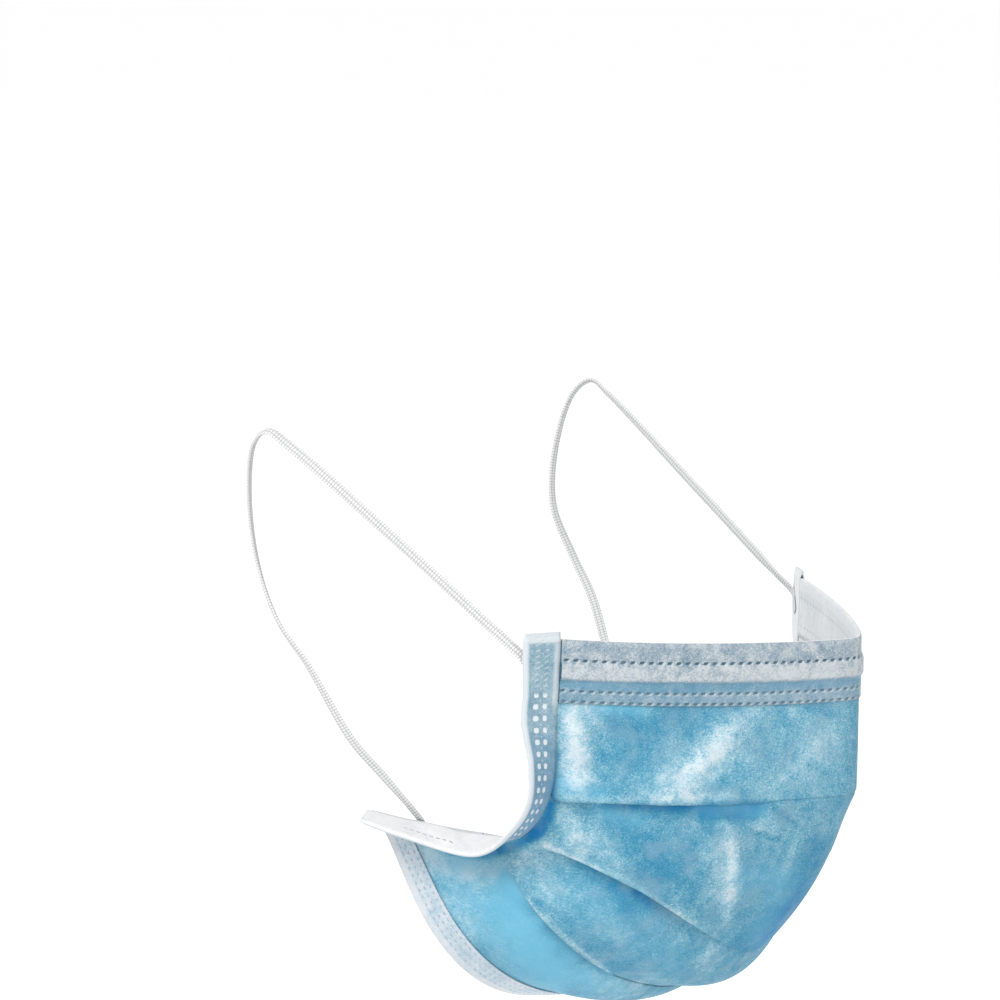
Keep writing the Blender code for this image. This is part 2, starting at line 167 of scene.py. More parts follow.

# Route of one ear loop, from the upper end to the lower end, as shares of FACE_DEPTH, HALF_WIDTH
# and WORN_HEIGHT: back, out and up. face is the way its flat side looks: back, out and up.
LoopPoint = namedtuple("LoopPoint", "back out up face")
LOOP_ROUTE = [LoopPoint(*row) for row in (
    (0.830, 1.050, 0.275, (-0.10, 1.0, 0.10)),
    (1.125, 1.115, 0.530, (-0.40, 0.8, 0.60)),
    (1.180, 1.125, 0.565, (0.10, 0.4, 0.90)),
    (1.225, 1.110, 0.530, (0.60, 0.2, 0.70)),
    (1.260, 1.065, 0.390, (0.95, 0.2, 0.20)),
    (1.255, 1.025, 0.210, (0.95, 0.3, -0.10)),
    (1.195, 1.030, 0.060, (0.75, 0.6, -0.30)),
    (1.126, 1.000, -0.050, (0.40, 0.9, -0.30)),
    (1.034, 0.925, -0.250, (0.10, 1.0, -0.10)),
)]
LoopEnd = namedtuple("LoopEnd", "distance inset heading length lift")
UPPER_END = LoopEnd(0.046, 0.0005, 48.0, UPPER_SEAT, 0.5 * PLIES + 2 * AIR + TAPE_PLY)
LOWER_END = LoopEnd(0.856, 0.0084, -113.0, LOWER_SEAT, 0.5 * PLIES + AIR)
SEAT_DASHES = (66.0, 80.0)      # where the tape's inner leaf is welded over the elastic, in mm

# Rows of weld dashes. place is down the cloth from its fold and shift is along it, with the pitch
# and the size of a dash, all in mm. slant is mm along for each mm down, and depth is how dark.
DashRow = namedtuple("DashRow", "place pitch length height slant shift depth",
                     defaults=(0.0, 0.0, 1.0))
TOP_DASHES = [
    DashRow(4.40, 2.27, 1.05, 0.65, 0.6, 0.0, 0.90),
    DashRow(11.10, 2.27, 1.15, 0.60, 0.6, 0.6, 0.68),
    DashRow(13.45, 2.27, 1.15, 0.60, 0.6, 0.1, 0.68),
]
BOTTOM_DASHES = [
    DashRow(3.0, 1.7, 0.8, 0.5, 0.5, 0.0, 0.36),
    DashRow(4.9, 1.7, 0.8, 0.5, 0.5, 0.5, 0.36),
    DashRow(6.8, 1.7, 0.8, 0.5, 0.5, 1.0, 0.36),
]
# The same rows on the leaves inside the mask
TOP_INSIDE = [row._replace(depth=depth) for row, depth in zip(TOP_DASHES, (0.35, 0.30, 0.30))]
BOTTOM_INSIDE = [row._replace(height=0.4, slant=0.3, depth=0.25) for row in BOTTOM_DASHES]
WIRE_STRIPE = (5.0, 8.3, 0.35)  # from, to and softness of the pale stripe over the wire, in mm
DOT_COLUMNS = (2.65, 4.75)      # of the tape's weld dots, in mm from its free edge
DOT_PITCH = 2.62

# Soft bulges, hollows and creases of the worn panel, where the photograph shows them, with
# painted light and shade. points and spread are in the photograph's pixels. tone is painted light
# and shade, from about -1, deep blue painted shade under the pleats and beside the tape, to 1, a
# pale painted highlight on bulges and ridges. pleats is how many pleats are above the only section
# that the stroke colours, or None where it colours all of them. height is in mm.
Stroke = namedtuple("Stroke", "points spread tone pleats height", defaults=(0.0,))
STROKES = [Stroke(*row) for row in (
    (((600, 730), (700, 760), (820, 740)), 42, 0.13, 0),
    (((571, 702), (573, 740), (576, 782)), 15, 0.64, 0, 0.7),
    (((578, 735), (581, 776)), 13, 0.45, 0, 0.2),
    (((757, 708), (730, 735), (704, 762), (690, 788)), 13, 0.42, 0, 0.6),
    (((722, 742), (700, 768), (662, 792)), 16, 0.44, 0, 0.3),
    (((735, 750), (758, 775), (764, 795)), 11, 0.20, 0, 0.2),
    (((556, 800), (650, 801), (735, 796)), 4, 0.35, 0),
    (((560, 812), (578, 832), (612, 862)), 16, 0.42, 1, 0.4),
    (((726, 828), (735, 853), (736, 870), (729, 916)), 7, 0.42, 1, 0.6),
    (((731, 848), (727, 892)), 13, 0.40, 1),
    (((712, 856), (716, 885)), 13, 0.25, 1, 0.3),
    (((650, 823), (700, 832)), 12, 0.10, 1),
    (((700, 968), (716, 952)), 9, 0.35, None, 0.2),
    (((822, 738), (815, 752)), 13, 0.25, 0, 0.2),
    (((797, 772), (790, 780)), 9, 0.25, 0),
    (((750, 820), (775, 830)), 10, 0.28, 1, 0.2),
    (((799, 832), (790, 866)), 4, 0.25, 1, 0.2),
    (((522, 852), (535, 872), (556, 902)), 15, 0.30, 2, 0.3),
    (((560, 885), (600, 915), (650, 955)), 22, 0.14, 2),
    (((546, 847), (580, 863), (634, 886), (674, 914), (713, 946)), 3, 0.45, 1),
    (((490, 866), (518, 895), (563, 939), (608, 975)), 3, 0.60, 2),
    (((610, 935), (660, 960)), 15, 0.12, 2),
    (((430, 862), (455, 890), (500, 955)), 9, 0.16, 3),
    (((462, 868), (486, 905)), 9, 0.22, 3),
    (((560, 985), (600, 975)), 10, 0.20, 3),
    (((612, 730), (652, 738)), 17, -0.40, 0, -0.5),
    (((600, 760), (640, 762)), 13, -0.20, 0, -0.2),
    (((672, 712), (690, 722)), 14, -0.24, 0, -0.3),
    (((815, 706), (832, 712)), 9, -0.30, 0),
    (((606, 807), (660, 808), (712, 806)), 5, -0.72, 1),
    (((674, 812), (700, 815)), 9, -0.35, 1),
    (((706, 811), (730, 815), (755, 811)), 9, -0.90, 1, -0.5),
    (((712, 805), (780, 803), (850, 799)), 2, -0.35, None),
    (((642, 840), (668, 880)), 17, -0.15, 1, -0.4),
    (((774, 809), (798, 826)), 2.5, -0.40, 1, -0.35),
    (((752, 833), (782, 843)), 2.5, -0.40, 1, -0.30),
    (((554, 757), (553, 780), (550, 800)), 4, -1.10, 0, -0.2),
    (((551, 803), (549, 818), (536, 834)), 6, -1.30, None),
    (((540, 832), (518, 846), (490, 857)), 5, -1.20, None),
    (((484, 859), (464, 858), (436, 850)), 3, -0.50, None),
    (((424, 852), (452, 868), (492, 876)), 15, 0.84, 3),
    (((452, 904), (472, 936)), 12, 0.36, 3),
    (((512, 866), (545, 851), (580, 848)), 13, 0.40, None),
    (((562, 864), (590, 875)), 10, 0.22, 2),
    (((592, 700), (606, 742)), 11, 0.32, 0),
    (((600, 990), (636, 990)), 12, 0.32, None),
    (((676, 898), (684, 932)), 10, 0.26, None),
    (((800, 905), (766, 945)), 12, -0.40, 1),
    (((820, 850), (800, 890), (768, 935), (740, 958)), 15, -0.28, 1),
    (((570, 862), (600, 878), (640, 898)), 14, -0.40, 2, -0.3),
    (((640, 894), (690, 934)), 7, -0.40, 2, -0.3),
    (((505, 890), (530, 915)), 6, -0.30, 3, -0.2),
    (((545, 930), (606, 978)), 3, -0.30, 3, -0.2),
    (((612, 972), (636, 978)), 9, -0.30, 2),
    (((625, 915), (645, 935)), 8, -0.25, 2),
    (((640, 950), (690, 972)), 14, -0.20, 2),
)]
# Places where light shines through the thin cloth, of a clearer blue: tone is from 0 to 1.
GLOWS = [Stroke(*row) for row in (
    (((508, 898), (524, 928), (541, 950), (566, 974)), 27, 0.66, 3),
    (((440, 862), (480, 920), (540, 985)), 24, 0.40, 3),
    (((458, 864), (494, 868), (520, 890)), 12, 0.45, 3),
    (((530, 860), (600, 915), (670, 960)), 26, 0.22, 2),
    (((590, 985), (620, 990)), 12, 0.40, None),
    (((604, 880), (640, 896), (652, 912)), 6, 0.50, 1),
    (((700, 811), (760, 812)), 8, 0.40, 1),
    (((600, 812), (640, 822)), 9, 0.40, 1),
    (((600, 705), (640, 710)), 9, 0.45, 0),
    (((745, 880), (775, 880)), 14, 0.25, 1),
    (((790, 880), (760, 940)), 14, 0.25, 1),
    (((560, 785), (600, 795)), 9, 0.35, 0),
)]
# The left half has the same strokes, but moved by some pixels and fainter.
LEFT_SHIFT = (24.0, -13.0)
LEFT_FAINTER = 0.35
LEFT_BLEND = 0.012


def place(back, out, down):
    return np.array((-out * HALF_WIDTH, back * FACE_DEPTH, -down * WORN_HEIGHT))


def direction(back, out, up):
    way = np.array((-out, back, up))
    return way / np.linalg.norm(way)


def smooth_step(x):
    x = np.clip(x, 0.0, 1.0)
    return x * x * (3.0 - 2.0 * x)


def through(start, middle, end, t):
    """The quadratic curve that passes through middle at half way."""
    control = 2.0 * middle - 0.5 * (start + end)
    t = t[:, None]
    return (1 - t) ** 2 * start + 2 * t * (1 - t) * control + t * t * end


def row_points(row, u):
    """Points of a row: u is 0 where the tape's strip begins, 1 at the centre, -1 at the edge."""
    start = place(*row.side)
    middle = place(*row.middle)
    end = place(row.centre[0], 0.0, row.centre[1])
    inner = np.clip(u, 0.0, 1.0)
    span = math.hypot(1.0, row.ridge) - row.ridge
    rounded = 1.0 - (np.hypot(1.0 - inner, row.ridge) - row.ridge) / span
    points = through(start, middle, end, rounded)
    hollow = row.dip * DIP * (inner / DIP_AT) * np.exp(1.0 - inner / DIP_AT)
    points[:, 0] = through(start, middle, end, inner)[:, 0] + hollow
    return points + np.clip(-u, 0.0, None)[:, None] * STRIP * direction(*row.lean)


def knot_slope(before, here, after, gap_in, gap_out):
    first = (here - before) / gap_in
    second = (after - here) / gap_out
    return first - (after - before) / (gap_in + gap_out) + second


def span_slopes(near):
    """The slopes of a centripetal spline at both ends of the middle span of four points."""
    gaps = []
    for k in range(3):
        length = np.linalg.norm(near[k + 1] - near[k], axis=-1, keepdims=True)
        gaps.append(np.maximum(np.sqrt(length), 1e-4))
    first = knot_slope(near[0], near[1], near[2], gaps[0], gaps[1])
    second = knot_slope(near[1], near[2], near[3], gaps[1], gaps[2])
    return first * gaps[1], second * gaps[1]


def hermite(start, end, slope_in, slope_out, t):
    return (
        (2 * t ** 3 - 3 * t ** 2 + 1) * start + (t ** 3 - 2 * t ** 2 + t) * slope_in
        + (3 * t ** 2 - 2 * t ** 3) * end + (t ** 3 - t ** 2) * slope_out
    )


def base_sheet(u):
    """The smooth sheet for an array of u, one fine column of points from top to bottom each."""
    rows = [row_points(row, u) for row in ROWS]
    rows.insert(0, 2 * rows[0] - rows[1])
    rows.append(2 * rows[-1] - rows[-2])
    from_side = smooth_step(u / CORNER_FADE)[:, None]
    parts = []
    for i in range(LAST):
        near = rows[i:i + 4]
        slope_in, slope_out = span_slopes(near)
        chord = near[2] - near[1]
        slope_in = slope_in + (chord - slope_in) * from_side * (1.0 - ROWS[i].smooth)
        slope_out = slope_out + (chord - slope_out) * from_side * (1.0 - ROWS[i + 1].smooth)
        for k in range(DOWN_SAMPLES):
            parts.append(hermite(near[1], near[2], slope_in, slope_out, k / DOWN_SAMPLES))
    parts.append(rows[-2])
    return np.stack(parts, axis=1)


def unit(vectors):
    return vectors / np.maximum(np.linalg.norm(vectors, axis=-1, keepdims=True), 1e-12)


def photo_place(points):
    """Where points of the wearer's right half show in the photograph, in pixels. Points of the
    left half go where their mirror images do."""
    front = 1000 * (FACE_DEPTH - points[..., 1])
    right = 1000 * np.abs(points[..., 0])
    below = PHOTO_LEVEL - 1000 * points[..., 2]
    near = PHOTO_TURN[0] * front + PHOTO_TURN[1] * right
    scale = PHOTO_SCALE / (1000 * DISTANCE - near)
    x = PHOTO_MIDDLE + scale * (PHOTO_TURN[1] * front - PHOTO_TURN[0] * right)
    y = PHOTO_MIDDLE + scale * (PHOTO_TILT[0] * below + PHOTO_TILT[1] * near)
    return np.stack((x, y), axis=-1)


def polyline_distance(places, points):
    best = np.full(places.shape[:-1], 1e9)
    for a, b in zip(points, points[1:]):
        a = np.array(a, dtype=float)
        way = np.array(b, dtype=float) - a
        t = np.clip(((places - a) @ way) / (way @ way), 0.0, 1.0)
        best = np.minimum(best, np.linalg.norm(places - a - t[..., None] * way, axis=-1))
    return best


def section_numbers():
    """How many pleats are above each point down a column of the panel."""
    turn = FOLD_STEPS // 2 + 1
    counts = np.array(PANEL_STEPS) + 2 * turn
    counts[0] -= turn
    counts[-1] -= turn
    return np.repeat(np.arange(len(counts)), counts)


def stroke_fields(grid, strokes):
    """The painted light and shade and the height that the ragged strokes give to a grid of points.
    """
    sections = section_numbers()
    places = photo_place(grid)
    x = places[..., 0]
    y = places[..., 1]
    ragged = (np.sin(0.23 * y + 1.4 * np.sin(0.15 * x)), np.sin(0.19 * x + 1.7 * np.sin(0.17 * y)))
    ragged = np.stack(ragged, axis=-1)
    blend = smooth_step(grid[..., 0] / LEFT_BLEND)
    tone = np.zeros(grid.shape[:-1])
    height = np.zeros(grid.shape[:-1])
    for stroke in strokes:
        moved = places + 0.2 * max(stroke.spread - 4.0, 0.0) * ragged
        if stroke.spread > 6.0:
            moved = moved + blend[..., None] * np.array(LEFT_SHIFT)
        near = np.exp(-(polyline_distance(moved, stroke.points) / stroke.spread) ** 2)
        tone += stroke.tone * near * (stroke.pleats is None or sections == stroke.pleats)
        height += stroke.height * near
    fainter = 1.0 - LEFT_FAINTER * blend
    return tone * fainter, height * fainter


def grid_normals(grid):
    down = np.gradient(grid, axis=1)
    across = np.gradient(grid, axis=0)
    return unit(np.cross(down, across))


class Sheet:
    """The smooth sheet over the whole width: w is 0 at the right strip, 1 at the centre and 2 at
    the left strip, and a column runs down it for each w."""

    def __init__(self, w):
        self.w = w
        u = np.where(w <= 1.0, w, 2.0 - w)
        grid = base_sheet(u)
        grid[w > 1.0, :, 0] *= -1.0
        self.u = u
        self.grid = grid
        self.normals = grid_normals(grid) * (1.0 if w[-1] > w[0] else -1.0)
        steps = np.linalg.norm(np.diff(grid, axis=1), axis=-1)
        self.lengths = np.concatenate((np.zeros((len(w), 1)), np.cumsum(steps, axis=1)), axis=1)
        self.total = self.lengths[:, -1]

    def row_at(self, i, row):
        return self.lengths[i, row * DOWN_SAMPLES]

    def at(self, i, s, lift):
        """Points of column i at lengths s, lifted along the outward normal."""
        points = np.empty((len(s), 3))
        lengths = self.lengths[i]
        for axis in range(3):
            column = self.grid[i, :, axis]
            points[:, axis] = np.interp(s, lengths, column)
            normal = np.interp(s, lengths, self.normals[i, :, axis])
            points[:, axis] += lift * normal
        ends = ((s < 0, s, 1, 0), (s > lengths[-1], s - lengths[-1], -1, -2))
        for outside, beyond, a, b in ends:
            way = unit(self.grid[i, a] - self.grid[i, b])
            points += np.where(outside, beyond, 0.0)[:, None] * way
        return points


def whole_width(strip_edge):
    """Values of w from one strip to the other, crowding at the centre ridge."""
    share = np.linspace(0.0, 1.0, HALF_COLUMNS)
    half = 1.0 - (1.0 - share) ** 1.25
    strip = np.linspace(strip_edge, 0.0, STRIP_COLUMNS + 1)[:-1] if strip_edge < 0 else []
    right = np.concatenate((strip, half))
    return np.concatenate((right, 2.0 - right[-2::-1]))


def fold_shape(pleat, u):
    near_side = smooth_step(u / SIDE_FADE)
    opening = smooth_step((u - pleat.closed) / (pleat.open - pleat.closed))
    turn = math.radians((FOLD_ANGLE + (pleat.crease - FOLD_ANGLE) * opening) * near_side)
    tuck_left = 1.0 - smooth_step((u - 0.5 * pleat.closed) / (0.5 * pleat.closed))
    tuck = PLEAT_DEPTH * tuck_left * smooth_step((u - SIDE_FADE) / (4 * SIDE_FADE))
    step = 2 * FOLD_RADIUS * (1 - math.cos(turn)) + tuck * math.sin(turn)
    return turn, tuck, step


def fold_path(pleat, u, start):
    """A fold as lengths and lifts: first turn, tuck, second turn."""
    turn, tuck, step = fold_shape(pleat, u)
    half = FOLD_STEPS // 2
    heading = turn * np.linspace(0.0, 1.0, half + 1)
    s = start + FOLD_RADIUS * np.sin(heading)
    lift = step - FOLD_RADIUS * (1 - np.cos(heading))
    heading = heading[::-1]
    back = s[-1] + tuck * math.cos(turn) + FOLD_RADIUS * (math.sin(turn) - np.sin(heading))
    under = lift[-1] - tuck * math.sin(turn) - FOLD_RADIUS * (np.cos(heading) - math.cos(turn))
    return np.concatenate((s, back)), np.concatenate((lift, under))


def sheet_path(sheet, i, top, bottom):
    """The whole pleated section of one column as lengths and lifts."""
    s_parts = []
    lift_parts = []
    start = top
    u = max(float(sheet.u[i]), 0.0)
    to_centre = smooth_step((u - 0.15) / 0.45)
    for pleat, count in zip(PLEATS, PANEL_STEPS):
        edge = sheet.row_at(i, pleat.row) + pleat.shift * smooth_step(u / 0.1)
        edge = edge - FOLD_RADIUS - 0.5 * PLIES
        fold_s, fold_lift = fold_path(pleat, u, edge)
        s = np.linspace(start, edge, count + 1)[:-1]
        s_parts += [s, fold_s]
        swell = pleat.swell * to_centre * np.sin(math.pi * (s - start) / (edge - start)) ** 1.5
        rise = fold_lift[0] * smooth_step((s - edge + PLEAT_RISE) / PLEAT_RISE)
        lift_parts += [rise + swell, fold_lift]
        start = fold_s[-1]
    s = np.linspace(start, bottom, PANEL_STEPS[-1] + 1)[1:]
    share = np.clip((s - start) / (bottom - BOTTOM_BAND - start), 0.0, 1.0)
    swell = LAST_SWELL * to_centre * np.sin(math.pi * share)
    return np.concatenate(s_parts + [s]), np.concatenate(lift_parts + [swell])


def grid_object(name, grid, cloth_mm, finishes, thickness=0.0, lining=0):
    """A piece from a grid of points, with its place on the cloth in millimetres as a UV map.
    lining is added to a face's material on the back of the sheet."""
    n, m = grid.shape[:2]
    index = np.arange(n * m).reshape(n, m)
    quads = np.stack((index[:-1, :-1], index[:-1, 1:], index[1:, 1:], index[1:, :-1]), axis=-1)
    mesh = bpy.data.meshes.new(name)
    mesh.from_pydata(grid.reshape(-1, 3).tolist(), [], quads.reshape(-1, 4).tolist())
    layer = mesh.uv_layers.new(name="cloth")
    corners = np.empty(len(mesh.loops), dtype=np.int32)
    mesh.loops.foreach_get("vertex_index", corners)
    layer.data.foreach_set("uv", cloth_mm.reshape(-1, 2)[corners].astype(np.float32).ravel())
    mesh.polygons.foreach_set("use_smooth", [True] * len(mesh.polygons))
    for finish in finishes:
        mesh.materials.append(finish)
    item = bpy.data.objects.new(name, mesh)
    bpy.context.scene.collection.objects.link(item)
    if thickness:
        wall = item.modifiers.new("Wall", "SOLIDIFY")
        wall.thickness = thickness
        wall.offset = 0.0
        wall.use_even_offset = False
        wall.material_offset = lining
        wall.material_offset_rim = 0
    return item


def make_camera():
    azimuth = math.radians(AZIMUTH)
    elevation = math.radians(ELEVATION)
    way = Vector((math.sin(azimuth) * math.cos(elevation),
                  -math.cos(azimuth) * math.cos(elevation), math.sin(elevation)))
    data = bpy.data.cameras.new("camera")
    data.lens = LENS
    data.sensor_width = 36.0
    camera = bpy.data.objects.new("camera", data)
    camera.location = TARGET + DISTANCE * way
    camera.rotation_euler = (-way).to_track_quat("-Z", "Y").to_euler()
    bpy.context.scene.collection.objects.link(camera)
    bpy.context.scene.camera = camera


def area_light(name, place_at, look_at, size, power):
    data = bpy.data.lights.new(name, "AREA")
    data.shape = "DISK"
    data.size = size
    data.energy = power
    lamp = bpy.data.objects.new(name, data)
    lamp.location = place_at
    lamp.rotation_euler = (Vector(look_at) - Vector(place_at)).to_track_quat("-Z", "Y").to_euler()
    bpy.context.scene.collection.objects.link(lamp)


class Nodes:
    """Short calls for building one material's nodes."""

    def __init__(self, name):
        self.material = bpy.data.materials.new(name)
        self.material.use_nodes = True
        self.tree = self.material.node_tree
        self.shader = self.tree.nodes["Principled BSDF"]

    def link(self, source, socket):
        if isinstance(source, bpy.types.NodeSocket):
            self.tree.links.new(source, socket)
        else:
            socket.default_value = source

    def math(self, kind, a, b=0.0, c=0.0):
        node = self.tree.nodes.new("ShaderNodeMath")
        node.operation = kind
        for socket, value in zip(node.inputs, (a, b, c)):
            self.link(value, socket)
        return node.outputs[0]

    def times(self, a, b):
        return self.math("MULTIPLY", a, b)

    def minus(self, a, b):
        return self.math("SUBTRACT", a, b)

    def larger(self, a, b):
        return self.math("MAXIMUM", a, b)

    def size(self, a):
        return self.math("ABSOLUTE", a)

    def mix(self, factor, a, b):
        node = self.tree.nodes.new("ShaderNodeMix")
        node.data_type = "RGBA"
        self.link(factor, node.inputs[0])
        self.link(a, node.inputs[6])
        self.link(b, node.inputs[7])
        return node.outputs[2]

    def noise(self, where, scale, detail=2.0, rough=0.5, distortion=0.0):
        node = self.tree.nodes.new("ShaderNodeTexNoise")
        self.link(where, node.inputs["Vector"])
        node.inputs["Scale"].default_value = scale
        node.inputs["Detail"].default_value = detail
        node.inputs["Roughness"].default_value = rough
        node.inputs["Distortion"].default_value = distortion
        return node.outputs[0]

    def turned(self, where, angle, scale):
        node = self.tree.nodes.new("ShaderNodeMapping")
        self.link(where, node.inputs["Vector"])
        node.inputs["Rotation"].default_value = [math.radians(a) for a in angle]
        node.inputs["Scale"].default_value = scale
        return node.outputs[0]

    def between(self, value, low, high):
        """0 below low, 1 above high and smooth between them."""
        node = self.tree.nodes.new("ShaderNodeMapRange")
        node.interpolation_type = "SMOOTHSTEP"
        self.link(value, node.inputs[0])
        node.inputs[1].default_value = low
        node.inputs[2].default_value = high
        return node.outputs[0]

    def ramp(self, value, stops):
        """Colours blended along a value that runs from the first stop to the last."""
        low = stops[0][0]
        high = stops[-1][0]
        node = self.tree.nodes.new("ShaderNodeValToRGB")
        share = self.math("DIVIDE", self.minus(value, low), high - low)
        self.link(share, node.inputs[0])
        marks = node.color_ramp.elements
        while len(marks) < len(stops):
            marks.new(0.5)
        for mark, (at, colour) in zip(marks, stops):
            mark.position = (at - low) / (high - low)
            mark.color = colour
        return node.outputs[0]

    def object_place(self):
        return self.tree.nodes.new("ShaderNodeTexCoord").outputs["Object"]

    def cloth(self):
        """Millimetres across and down the cloth."""
        node = self.tree.nodes.new("ShaderNodeUVMap")
        node.uv_map = "cloth"
        split = self.tree.nodes.new("ShaderNodeSeparateXYZ")
        self.tree.links.new(node.outputs[0], split.inputs[0])
        return split.outputs[0], split.outputs[1]

    def attribute(self, name):
        node = self.tree.nodes.new("ShaderNodeAttribute")
        node.attribute_name = name
        return node.outputs["Fac"]

    def bump(self, height, distance, strength=1.0, below=None):
        node = self.tree.nodes.new("ShaderNodeBump")
        node.inputs["Strength"].default_value = strength
        node.inputs["Distance"].default_value = distance
        self.link(height, node.inputs["Height"])
        if below:
            self.tree.links.new(below, node.inputs["Normal"])
        return node.outputs[0]

    def dashes(self, across, down, row, soft=0.12):
        """A row of weld dashes: 1 on a dash and 0 off it."""
        off_row = self.minus(down, row.place)
        moved = self.math("MULTIPLY_ADD", off_row, row.slant, self.math("ADD", across, row.shift))
        cell = self.math("FRACT", self.math("DIVIDE", moved, row.pitch))
        off_dash = self.size(self.minus(cell, 0.5))
        off_dash = self.times(off_dash, row.pitch)
        inside = self.between(off_dash, 0.5 * row.length + soft, 0.5 * row.length - soft)
        off_row = self.size(off_row)
        on_row = self.between(off_row, 0.5 * row.height + soft, 0.5 * row.height - soft)
        return self.times(inside, on_row)

    def dots(self, along, across, column, pitch, length, width):
        """A column of soft round weld dots: 1 in the middle of a dot and 0 off it."""
        off_column = self.math("DIVIDE", self.minus(across, column), 0.5 * width)
        cell = self.minus(self.math("FRACT", self.math("DIVIDE", along, pitch)), 0.5)
        off_dot = self.times(cell, 2.0 * pitch / length)
        square = self.math("POWER", self.size(off_dot), 2.6)
        away = self.math("ADD", square, self.math("POWER", self.size(off_column), 2.6))
        return self.between(away, 1.35, 0.45)

    def pressed(self, marks, depth, strength, below=None):
        return self.bump(self.times(marks, -1.0), depth, strength, below)

    def finish(self, colour, roughness, normal=None, sheen=0.0, specular=0.5):
        self.link(colour, self.shader.inputs["Base Color"])
        self.shader.inputs["Roughness"].default_value = roughness
        self.shader.inputs["Sheen Weight"].default_value = sheen
        self.shader.inputs["Specular IOR Level"].default_value = specular
        if normal:
            self.tree.links.new(normal, self.shader.inputs["Normal"])
        return self.material


def shown(r, g, b):
    """The base colour that shows as these eight-bit display values under the studio light."""
    linear = [((c / 255 + 0.055) / 1.055) ** 2.4 if c > 10 else c / 255 / 12.92 for c in (r, g, b)]
    return (*(LIGHT_SHARE * c for c in linear), 1.0)


def tints(*colours):
    return [shown(*colour) for colour in colours]


def felt(nodes, cloudy, patchy, grainy):
    """Felted fibres as a level about 0: clouds, small patches and fine crossed fibres, by how
    much each counts. The other values are their relief and the patches alone."""
    where = nodes.object_place()
    cloud = nodes.noise(where, 48.0, 2.0, 0.5, 0.3)
    mottle = nodes.noise(where, 240.0, 2.0, 0.5, 0.6)
    patch = nodes.noise(where, 380.0, 4.0, 0.75, 0.4)
    ways = (nodes.turned(where, (20, 35, 50), (1.0, 0.3, 1.0)),
            nodes.turned(where, (-35, 10, -40), (0.3, 1.0, 1.0)))
    fibres = nodes.larger(*(nodes.noise(way, 3000.0, 2.0, 0.7, 0.5) for way in ways))
    level = nodes.times(nodes.minus(cloud, 0.5), cloudy)
    level = nodes.math("MULTIPLY_ADD", nodes.minus(mottle, 0.5), cloudy, level)
    level = nodes.math("MULTIPLY_ADD", nodes.minus(patch, 0.5), patchy, level)
    level = nodes.math("MULTIPLY_ADD", nodes.minus(fibres, 0.56), grainy, level)
    relief = nodes.math("MULTIPLY_ADD", patch, 0.8, fibres)
    return level, relief, patch


def spunbond(nodes, tint):
    """White cloth: its colour, from dark to light, and its relief."""
    level, relief = felt(nodes, 0.8, 1.6, 2.6)[:2]
    return nodes.ramp(level, ((-0.5, tint[0]), (0.0, tint[1]), (0.5, tint[2]))), relief


def blue_material():
    nodes = Nodes("blue_nonwoven")
    level, relief, patch = felt(nodes, 0.7, 0.8, 2.5)
    broken = nodes.math("MULTIPLY_ADD", nodes.minus(patch, 0.5), 1.5, 1.0)
    # Painted light and shade from the strokes, broken up by the patches: deep blue painted shade
    # at -1 on the ramp, a pale painted highlight at 1.
    tone = nodes.times(nodes.attribute("tone"), broken)
    level = nodes.math("ADD", level, tone)
    colour = nodes.ramp(level, (
        (-1.0, shown(0, 126, 190)), (-0.45, shown(50, 144, 184)), (0.0, shown(98, 170, 198)),
        (0.45, shown(158, 206, 224)), (1.0, shown(226, 241, 248))))
    grey = nodes.between(nodes.noise(nodes.object_place(), 150.0, 3.0, 0.6, 0.4), 0.42, 0.76)
    colour = nodes.mix(nodes.times(grey, 0.40), colour, shown(156, 188, 206))
    colour = nodes.mix(nodes.attribute("glow"), colour, shown(124, 206, 238))
    return nodes.finish(colour, 0.6, nodes.bump(relief, 0.00014, 0.8), specular=0.15)


def white_material():
    nodes = Nodes("white_nonwoven")
    colour, relief = spunbond(nodes, tints((216, 224, 230), (229, 235, 239), (242, 246, 248)))
    return nodes.finish(colour, 0.6, nodes.bump(relief, 0.00014, 0.7), sheen=0.2)


